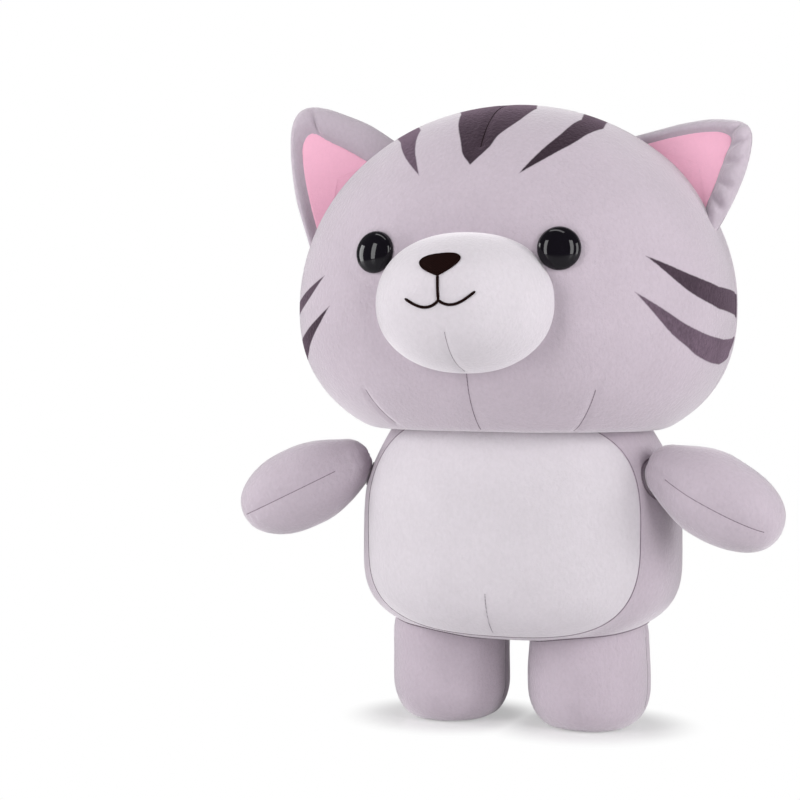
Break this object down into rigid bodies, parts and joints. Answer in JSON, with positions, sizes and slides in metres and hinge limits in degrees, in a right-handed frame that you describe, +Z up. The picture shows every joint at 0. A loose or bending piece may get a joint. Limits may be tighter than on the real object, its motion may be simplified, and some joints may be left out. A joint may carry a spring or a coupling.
{
  "type": "plush cat",
  "caption": "Standing plush cat with a large round head, domed muzzle, glossy safety eyes, lined ears, stubby arms and legs on flat soles, sewn from short-pile panels over stuffing.",
  "frame": {"origin": "on the floor under the middle of the cat's bounding box", "axes": "+Z up, the cat faces -Y, and its own left is +X"},
  "size_m": [0.3588, 0.3026, 0.4026],
  "materials": {
    "grey_plush": "short velvety pile",
    "white_plush": "short velvety pile",
    "pink_plush": "short velvety pile",
    "eye_plastic": "polished black",
    "thread": "satin-stitched thread",
    "stuffing": "loose polyester fibre",
    "washer": "natural nylon"
  },
  "bodies": {
    "torso": {"belly_panel": "white_plush", "back_panel_left": "grey_plush", "back_panel_right": "grey_plush", "body_stuffing": "stuffing"},
    "head": {"face_panel": "grey_plush", "head_back_panel": "grey_plush", "head_stuffing": "stuffing", "muzzle_panel": "white_plush", "muzzle_stuffing": "stuffing", "nose_patch": "thread", "mouth_stitch": "thread", "philtrum_stitch": "thread", "eye_left": "eye_plastic", "eye_right": "eye_plastic", "eye_washer_left": "washer", "eye_washer_right": "washer"},
    "ear_left": {"ear_left_shell": "grey_plush", "ear_left_lining": "pink_plush"},
    "arm_left": {"arm_left_upper_panel": "grey_plush", "arm_left_lower_panel": "grey_plush", "arm_left_stuffing": "stuffing"},
    "leg_left": {"leg_left_front_panel": "grey_plush", "leg_left_back_panel": "grey_plush", "sole_left": "grey_plush", "leg_left_stuffing": "stuffing"},
    "ear_right": {"ear_right_shell": "grey_plush", "ear_right_lining": "pink_plush"},
    "arm_right": {"arm_right_upper_panel": "grey_plush", "arm_right_lower_panel": "grey_plush", "arm_right_stuffing": "stuffing"},
    "leg_right": {"leg_right_front_panel": "grey_plush", "leg_right_back_panel": "grey_plush", "sole_right": "grey_plush", "leg_right_stuffing": "stuffing"},
    "tail": {"tail_cover": "grey_plush", "tail_stuffing": "stuffing"}
  },
  "joints": [
    {"name": "neck_turn", "type": "hinge", "parent": "torso", "child": "head", "pos_m": [0, -0.00228, 0.189], "axis": [0, 0, 1], "range_deg": [-15, 15], "stiffness_Nm_per_rad": 1.5},
    {"name": "shoulder_left", "type": "hinge", "parent": "torso", "child": "arm_left", "pos_m": [0.10918, -0.02828, 0.166], "axis": [0, -1, 0], "range_deg": [-15, 25], "stiffness_Nm_per_rad": 0.3},
    {"name": "hip_left", "type": "hinge", "parent": "torso", "child": "leg_left", "pos_m": [0.047, 0.00472, 0.05678], "axis": [-1, 0, 0], "range_deg": [-12, 12], "stiffness_Nm_per_rad": 2.5},
    {"name": "ear_left_fold", "type": "hinge", "parent": "head", "child": "ear_left", "pos_m": [0.10197, 0.00272, 0.34941], "axis": [-0.6571, 0.2586, 0.7081], "range_deg": [-10, 10], "stiffness_Nm_per_rad": 0.05},
    {"name": "shoulder_right", "type": "hinge", "parent": "torso", "child": "arm_right", "pos_m": [-0.10918, -0.02828, 0.166], "axis": [0, 1, 0], "range_deg": [-15, 25], "stiffness_Nm_per_rad": 0.3},
    {"name": "hip_right", "type": "hinge", "parent": "torso", "child": "leg_right", "pos_m": [-0.047, 0.00472, 0.05678], "axis": [-1, 0, 0], "range_deg": [-12, 12], "stiffness_Nm_per_rad": 2.5},
    {"name": "ear_right_fold", "type": "hinge", "parent": "head", "child": "ear_right", "pos_m": [-0.11098, 0.00272, 0.33343], "axis": [0.5457, 0.2246, 0.8073], "range_deg": [-10, 10], "stiffness_Nm_per_rad": 0.05},
    {"name": "tail_wag", "type": "hinge", "parent": "torso", "child": "tail", "pos_m": [0, 0.07918, 0.096], "axis": [0, 0, 1], "range_deg": [-30, 30], "stiffness_Nm_per_rad": 0.08}
  ]
}
